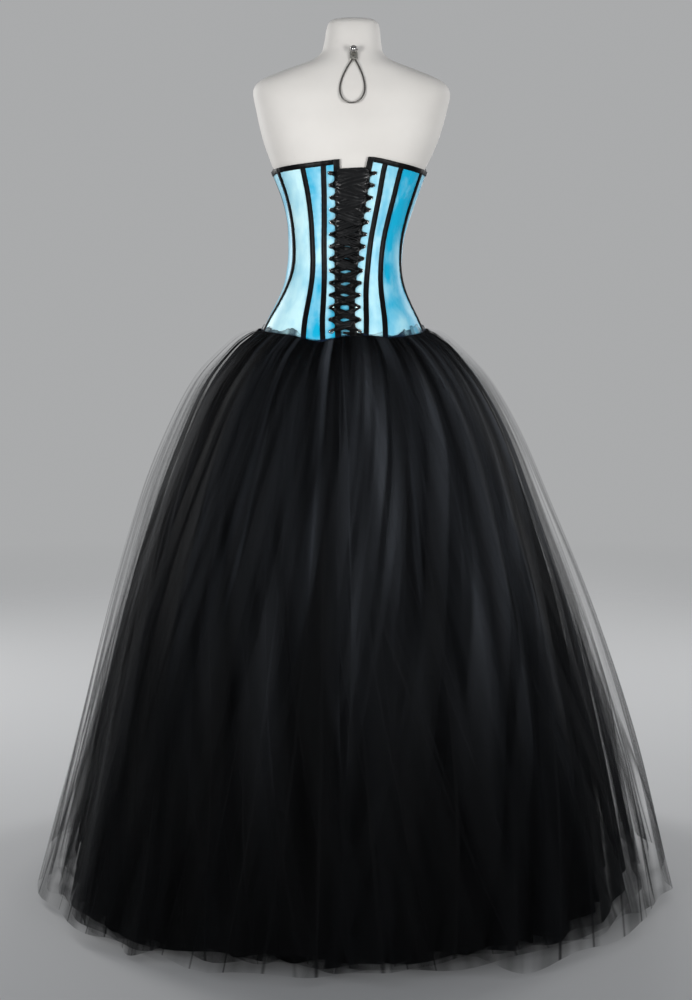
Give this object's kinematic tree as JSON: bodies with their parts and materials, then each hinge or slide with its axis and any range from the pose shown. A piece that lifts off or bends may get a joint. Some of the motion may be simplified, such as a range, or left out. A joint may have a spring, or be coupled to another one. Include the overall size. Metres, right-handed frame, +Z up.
{
  "type": "prom dress on a dress form",
  "caption": "Strapless floor-length prom gown with a ribbon-laced satin bodice and a full tulle skirt, shown on a limbless display form.",
  "frame": {"origin": "on the floor, at the middle of the underside of the stand's round foot", "axes": "+Z up; the laced back of the dress faces -Y and its front faces +Y; +X is to the wearer's right"},
  "size_m": [1.1765, 1.1744, 1.55],
  "materials": {
    "satin_cyan": "satin weave with a soft sheen",
    "satin_black": "satin",
    "tulle_black": "fine sheer net",
    "form_white": "matt",
    "stand_black": "satin powder coat",
    "steel": "bright"
  },
  "bodies": {
    "root": {"form_torso": "form_white", "stand_foot": "stand_black", "stand_pole": "stand_black", "hang_screw": "steel", "hang_ferrule": "steel", "hang_wire": "steel", "bodice_back_left": "satin_cyan", "bodice_side_back_left": "satin_cyan", "bodice_side_left": "satin_cyan", "bodice_side_front_left": "satin_cyan", "bodice_princess_left": "satin_cyan", "bodice_back_right": "satin_cyan", "bodice_side_back_right": "satin_cyan", "bodice_side_right": "satin_cyan", "bodice_side_front_right": "satin_cyan", "bodice_princess_right": "satin_cyan", "bodice_front": "satin_cyan", "tape_back_left": "satin_black", "tape_side_back_left": "satin_black", "tape_side_left": "satin_black", "tape_side_front_left": "satin_black", "tape_front_left": "satin_black", "tape_back_right": "satin_black", "tape_side_back_right": "satin_black", "tape_side_right": "satin_black", "tape_side_front_right": "satin_black", "tape_front_right": "satin_black", "binding_top": "satin_black", "binding_edge_left": "satin_black", "binding_edge_right": "satin_black", "modesty_panel": "satin_cyan", "lacing_ribbon": "satin_black", "skirt_over": "tulle_black", "skirt_under": "tulle_black"}
  },
  "joints": []
}
